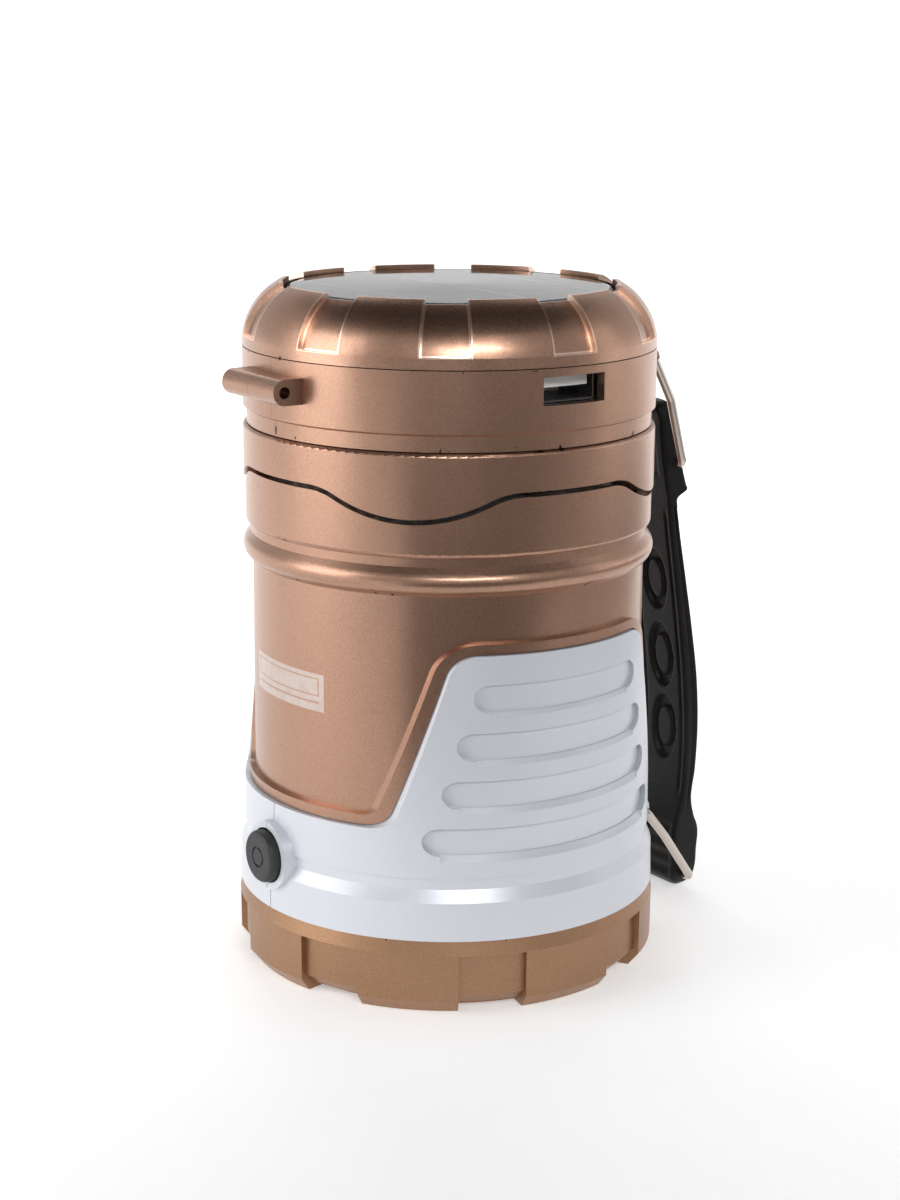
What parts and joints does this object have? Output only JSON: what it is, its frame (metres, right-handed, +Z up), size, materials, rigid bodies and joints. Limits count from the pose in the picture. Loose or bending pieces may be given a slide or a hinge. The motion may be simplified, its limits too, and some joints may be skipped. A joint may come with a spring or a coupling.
{
  "type": "solar_lantern",
  "caption": "Cylindrical solar camping lantern in copper and silver with a torch base, a head that lifts off a clear chimney, a side button, a USB port and a rubber carrying strap.",
  "frame": {"origin": "centre of the plane the lantern stands on", "axes": "+Z up, the torch button faces -Y, the USB port faces +X, the carrying strap is on the +Y side"},
  "size_m": [0.0896, 0.1143, 0.1434],
  "materials": {
    "copper": "satin",
    "bezel_copper": "matte",
    "silver": "satin",
    "black_rubber": "matte",
    "button_black": "satin",
    "clear_plastic": "gloss",
    "clear_cover": "gloss",
    "solar_cell": "gloss",
    "mirror_chrome": "polished",
    "nickel": "polished",
    "steel": "satin",
    "white_plastic": "satin",
    "inner_plastic": "matte",
    "board_green": "satin",
    "board_white": "satin",
    "chip_black": "satin",
    "led_white": "gloss",
    "cell_wrap": "gloss",
    "lead_red": "satin",
    "lead_black": "satin",
    "port_white": "gloss"
  },
  "bodies": {
    "barrel": {"barrel_shell": "copper", "base_bezel": "bezel_copper", "battery_cell": "cell_wrap", "battery_contact": "nickel", "battery_cradle": "inner_plastic", "battery_leads": "lead_red", "battery_spring": "nickel", "button_board": "board_green", "chassis": "inner_plastic", "coiled_lead": "lead_black", "cover_left": "silver", "cover_right": "silver", "deck_plate": "white_plastic", "deck_screws": "steel", "driver_board": "board_green", "driver_parts": "chip_black", "lamp_board": "board_white", "lamp_leds": "led_white", "stop_ring": "inner_plastic", "tact_switch": "chip_black", "torch_board": "board_white", "torch_led": "led_white", "torch_lens": "clear_plastic", "torch_reflector": "mirror_chrome", "torch_seal": "black_rubber"},
    "head": {"collar_ring": "copper", "upper_housing": "copper", "crown_cap": "copper", "solar_panel": "solar_cell", "panel_glaze": "clear_cover", "bay_floor": "white_plastic", "lamp_cone": "mirror_chrome", "lamp_chimney": "clear_plastic", "charge_board": "board_green", "board_screws": "steel", "charge_parts": "chip_black", "usb_shell": "nickel", "usb_tongue": "port_white", "solar_leads": "lead_red"},
    "button": {"torch_button": "button_black"},
    "upper_link": {"upper_wire": "nickel"},
    "strap": {"strap_grip": "black_rubber"},
    "lower_link": {"lower_wire": "nickel"}
  },
  "joints": [
    {"name": "head_slide", "type": "slide", "parent": "barrel", "child": "head", "axis": [0, 0, 1], "range_m": [0, 0.036], "deforming": ["coiled_lead"]},
    {"name": "button_press", "type": "slide", "parent": "barrel", "child": "button", "axis": [0, 1, 0], "range_m": [0, 0.0012], "stiffness_N_per_m": 700},
    {"name": "lower_link_swing", "type": "hinge", "parent": "barrel", "child": "lower_link", "pos_m": [0, 0.0465, 0.023], "axis": [1, 0, 0], "range_deg": [0, 94]},
    {"name": "strap_swing", "type": "hinge", "parent": "lower_link", "child": "strap", "pos_m": [0, 0.0615, 0.0038], "axis": [1, 0, 0], "range_deg": [-90.07, 0]},
    {"name": "upper_link_swing", "type": "hinge", "parent": "strap", "child": "upper_link", "pos_m": [0, 0.0556, 0.101], "axis": [1, 0, 0], "range_deg": [-12.2, 0]}
  ],
  "couplings": [
    {"joint": "lower_link_swing", "follows": "head_slide", "rad_per_m": 45.573},
    {"joint": "strap_swing", "follows": "head_slide", "rad_per_m": -43.665},
    {"joint": "upper_link_swing", "follows": "head_slide", "rad_per_m": -5.9157}
  ]
}
